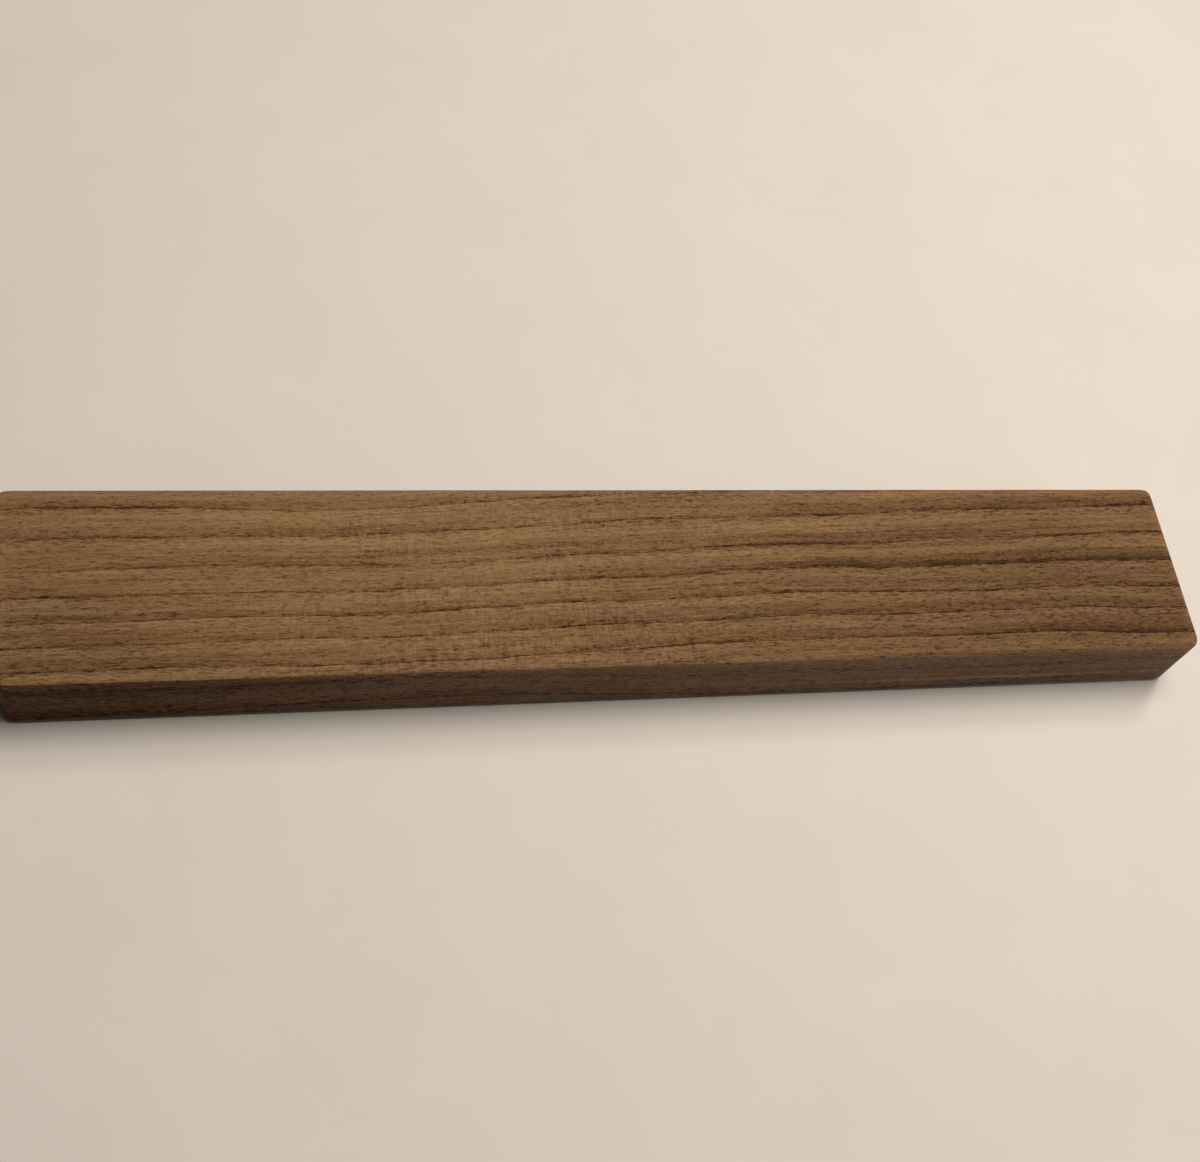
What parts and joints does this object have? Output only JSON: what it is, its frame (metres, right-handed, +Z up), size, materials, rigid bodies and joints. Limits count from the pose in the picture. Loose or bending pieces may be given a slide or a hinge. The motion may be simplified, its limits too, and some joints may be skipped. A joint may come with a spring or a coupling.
{
  "type": "wrist rest",
  "caption": "Solid walnut bar with rounded corners and a rolled top edge, standing on rubber feet, that supports the wrists in front of a keyboard.",
  "frame": {"origin": "on the desk under the middle of the bar, at the bottom centre of the bounding box", "axes": "+X along the bar, +Y from the user's side towards the keyboard, +Z up"},
  "size_m": [0.44, 0.073, 0.0274],
  "materials": {
    "walnut": "satin hand-rubbed oil over sanded walnut, open pores",
    "rubber": "matt moulded black rubber",
    "tape": "double-sided acrylic tape, matt"
  },
  "bodies": {
    "root": {"walnut_bar": "walnut", "foot_front_left": "rubber", "foot_front_middle": "rubber", "foot_front_right": "rubber", "foot_rear_left": "rubber", "foot_rear_middle": "rubber", "foot_rear_right": "rubber", "tape_front_left": "tape", "tape_front_middle": "tape", "tape_front_right": "tape", "tape_rear_left": "tape", "tape_rear_middle": "tape", "tape_rear_right": "tape"}
  },
  "joints": []
}
